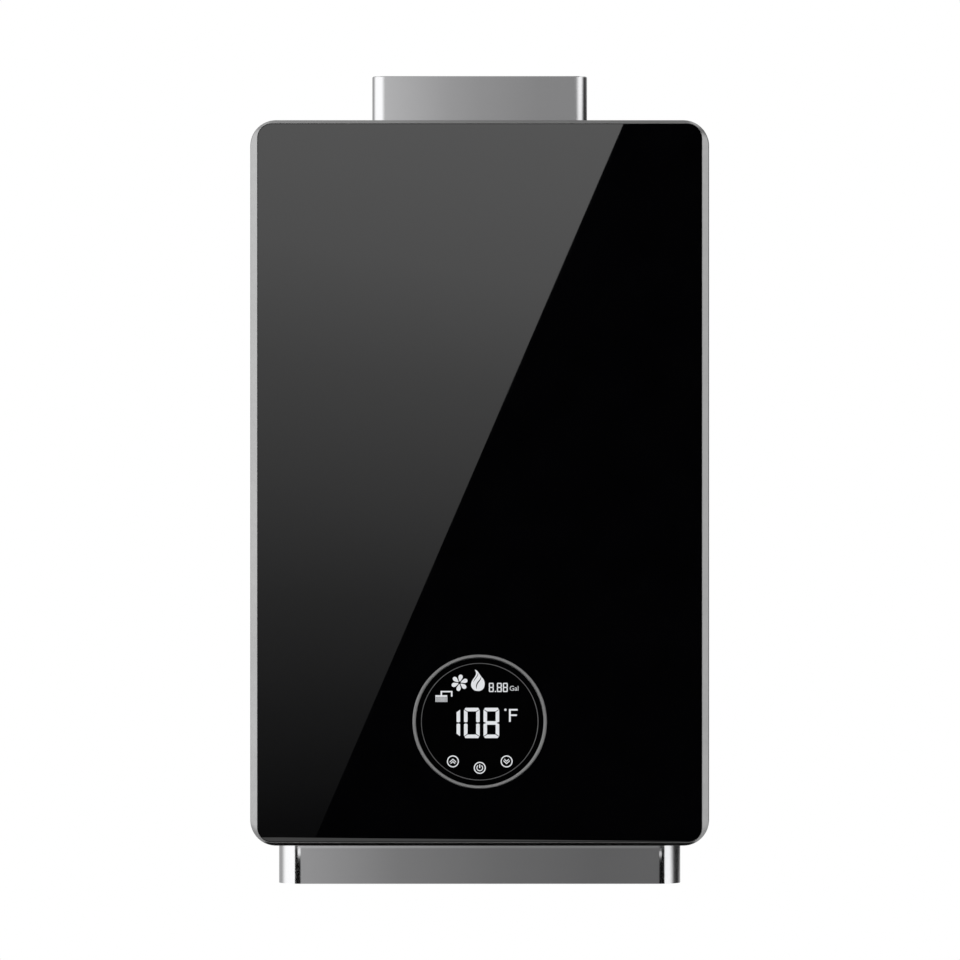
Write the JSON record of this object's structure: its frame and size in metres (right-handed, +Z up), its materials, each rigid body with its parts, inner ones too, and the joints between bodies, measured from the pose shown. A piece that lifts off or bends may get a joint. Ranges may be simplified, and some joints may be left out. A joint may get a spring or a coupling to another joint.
{
  "type": "propane tankless water heater",
  "caption": "Wall-hung tankless water heater with a black glass front, round lit display, flue collar on top and a skirt over the pipe connections.",
  "frame": {"origin": "midway between the two hanging keyholes, on the wall plane at the back of the panel", "axes": "+Z up, +Y into the wall, front of the glass towards -Y, +X to the right of someone facing it"},
  "size_m": [0.3352, 0.15, 0.5862],
  "materials": {
    "silver_coat": "satin silver powder coat",
    "bright_aluminium": "bright anodised",
    "black_glass": "black back-printed tempered glass, glossy",
    "smoked_lens": "smoked, glossy",
    "black_foam": "matte foam tape",
    "stainless": "bright brushed",
    "galvanised": "zinc coated, fine spangle",
    "zinc": "zinc plated",
    "burner_steel": "pressed heat-resistant steel",
    "copper": "bare copper, slightly oxidised",
    "brass": "machined",
    "die_cast": "as cast, fine grain",
    "motor_paint": "satin dark grey",
    "coil_black": "moulded",
    "soft_iron": "turned",
    "ceramic": "unglazed white",
    "dark_plastic": "moulded, fine grain",
    "grey_plastic": "moulded",
    "white_plastic": "moulded",
    "laminations": "varnished",
    "board_green": "solder resist",
    "black_rubber": "matte",
    "silicone": "matte silicone",
    "wire_jacket": "heat-resistant sleeve"
  },
  "bodies": {
    "casing": {"flue_collar": "stainless", "bottom_skirt": "stainless", "back_panel": "galvanised", "top_plate": "galvanised", "bottom_plate": "galvanised", "burner_brackets": "galvanised", "flue_hood": "galvanised", "fan_scroll": "galvanised", "fan_front_plate": "galvanised", "gas_pipe": "galvanised", "pressure_switch": "galvanised", "overheat_switch": "galvanised", "burner_frame": "burner_steel", "burner_blades": "burner_steel", "combustion_chamber": "copper", "chamber_coil": "copper", "exchanger_core": "copper", "return_bends": "copper", "hot_pipe": "copper", "cold_inlet_fitting": "brass", "hot_outlet_fitting": "brass", "gas_inlet_fitting": "brass", "gas_nozzles": "brass", "pipe_unions": "brass", "outlet_thermistor": "brass", "gas_valve_body": "die_cast", "gas_manifold": "die_cast", "fan_motor": "motor_paint", "main_solenoid": "coil_black", "regulator_coil": "coil_black", "ignition_electrodes": "ceramic", "flame_sensor": "ceramic", "hall_sensor": "dark_plastic", "control_box": "dark_plastic", "igniter_module": "dark_plastic", "flow_sensor_body": "grey_plastic", "turbine_spiders": "grey_plastic", "transformer": "laminations", "control_board": "board_green", "cord_gland": "black_rubber", "pressure_hose": "silicone", "wiring_harness": "wire_jacket"},
    "front_cover": {"front_cover_shell": "silver_coat", "trim_frame": "bright_aluminium", "glass_panel": "black_glass", "glass_tape": "black_foam", "display_ring": "bright_aluminium", "display_lens": "smoked_lens", "display_housing": "dark_plastic", "display_board": "board_green", "cover_screws": "zinc"},
    "fan_rotor": {"fan_impeller": "galvanised", "fan_shaft": "zinc"},
    "turbine": {"flow_turbine": "white_plastic"},
    "gas_plunger": {"valve_plunger": "soft_iron"},
    "drain_stopper": {"drain_plug": "grey_plastic"}
  },
  "joints": [
    {"name": "cover_lift_off", "type": "slide", "parent": "casing", "child": "front_cover", "axis": [0, -1, 0], "range_m": [0, 0.2]},
    {"name": "fan_spin", "type": "hinge", "parent": "casing", "child": "fan_rotor", "pos_m": [-0.0385, -0.06, -0.1022], "axis": [0, -1, 0], "continuous": true},
    {"name": "turbine_spin", "type": "hinge", "parent": "casing", "child": "turbine", "pos_m": [0.1093, -0.0662, -0.4913], "axis": [0, 0, 1], "continuous": true},
    {"name": "plunger_lift", "type": "slide", "parent": "casing", "child": "gas_plunger", "axis": [0, 0, 1], "range_m": [0, 0.003], "stiffness_N_per_m": 600, "springref_m": -0.004},
    {"name": "drain_plug_out", "type": "slide", "parent": "casing", "child": "drain_stopper", "axis": [0, 0, -1], "range_m": [0, 0.022]}
  ]
}
